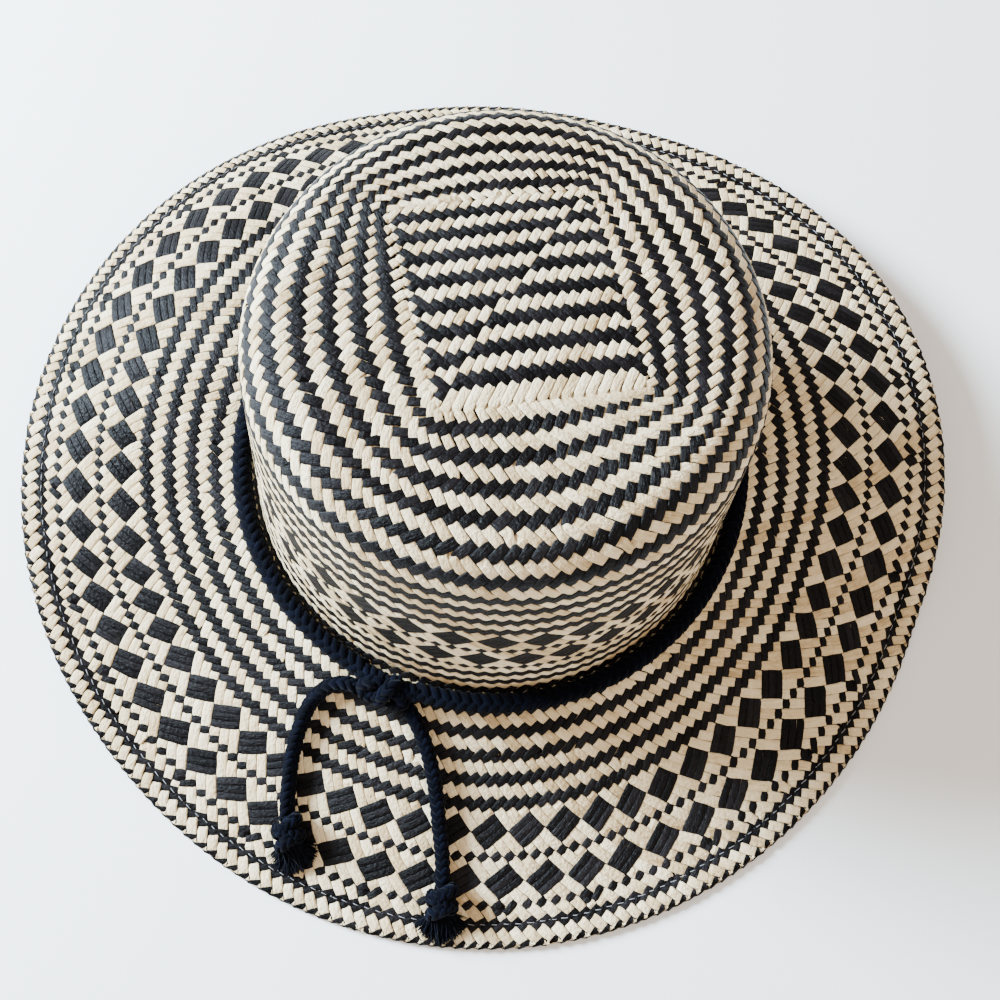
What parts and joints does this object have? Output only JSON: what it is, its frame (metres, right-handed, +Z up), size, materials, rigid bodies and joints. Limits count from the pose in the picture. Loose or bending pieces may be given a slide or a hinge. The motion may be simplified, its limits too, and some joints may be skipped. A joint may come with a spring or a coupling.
{
  "type": "woven hat",
  "caption": "Plaited palm hat with a round crown and a wide wavy brim, tied round the crown with a braided cord whose two tasselled ends lie on the brim.",
  "frame": {"origin": "on the surface that the hat lies on, under the middle of the crown", "axes": "+Z up through the crown, -Y towards the front of the brim where the cord's tails lie, +X to the wearer's left"},
  "size_m": [0.3839, 0.3782, 0.1435],
  "materials": {
    "woven_palm": "matte",
    "navy_cord": "matte"
  },
  "bodies": {
    "root": {"woven_body": "woven_palm", "cord_band": "navy_cord", "band_knot": "navy_cord", "tail_left": "navy_cord", "tail_right": "navy_cord", "tassel_left": "navy_cord", "tassel_right": "navy_cord"}
  },
  "joints": []
}
